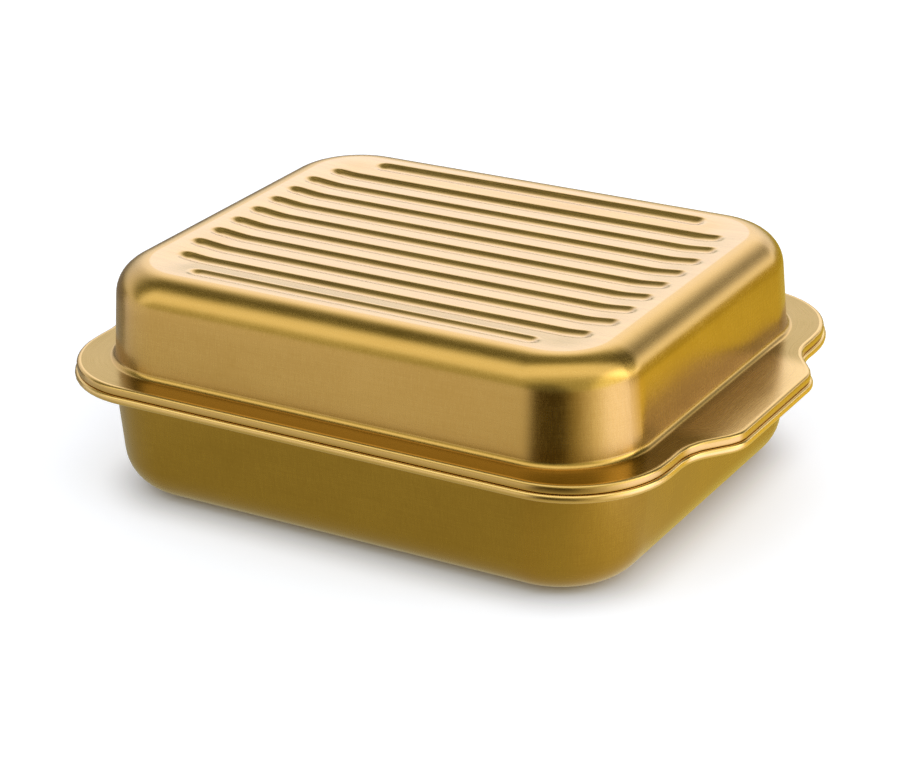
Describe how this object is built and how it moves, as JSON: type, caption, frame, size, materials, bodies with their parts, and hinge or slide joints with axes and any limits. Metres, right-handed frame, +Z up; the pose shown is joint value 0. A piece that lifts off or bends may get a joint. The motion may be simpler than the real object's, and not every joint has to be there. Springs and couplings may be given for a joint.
{
  "type": "covered roasting pan",
  "caption": "Rectangular covered roasting pan: deep pressed pan and matching ribbed lid, both with flat flanges, rolled rims and end grip tabs.",
  "frame": {"origin": "middle of the underside of the pan's base", "axes": "+X along the length, through the two grip tabs; +Y across the width; +Z up, out of the pan"},
  "size_m": [0.35, 0.261, 0.1158],
  "materials": {
    "pan_sheet": "gold-anodised, brushed satin",
    "lid_sheet": "gold-anodised, brushed satin",
    "rim_wire": "bright drawn steel wire"
  },
  "bodies": {
    "pan": {"pan": "pan_sheet", "pan_rim_wire": "rim_wire"},
    "lid": {"lid": "lid_sheet", "lid_rim_wire": "rim_wire"}
  },
  "joints": [
    {"name": "lid_lift", "type": "slide", "parent": "pan", "child": "lid", "axis": [0, 0, 1], "range_m": [0, 0.15]}
  ]
}
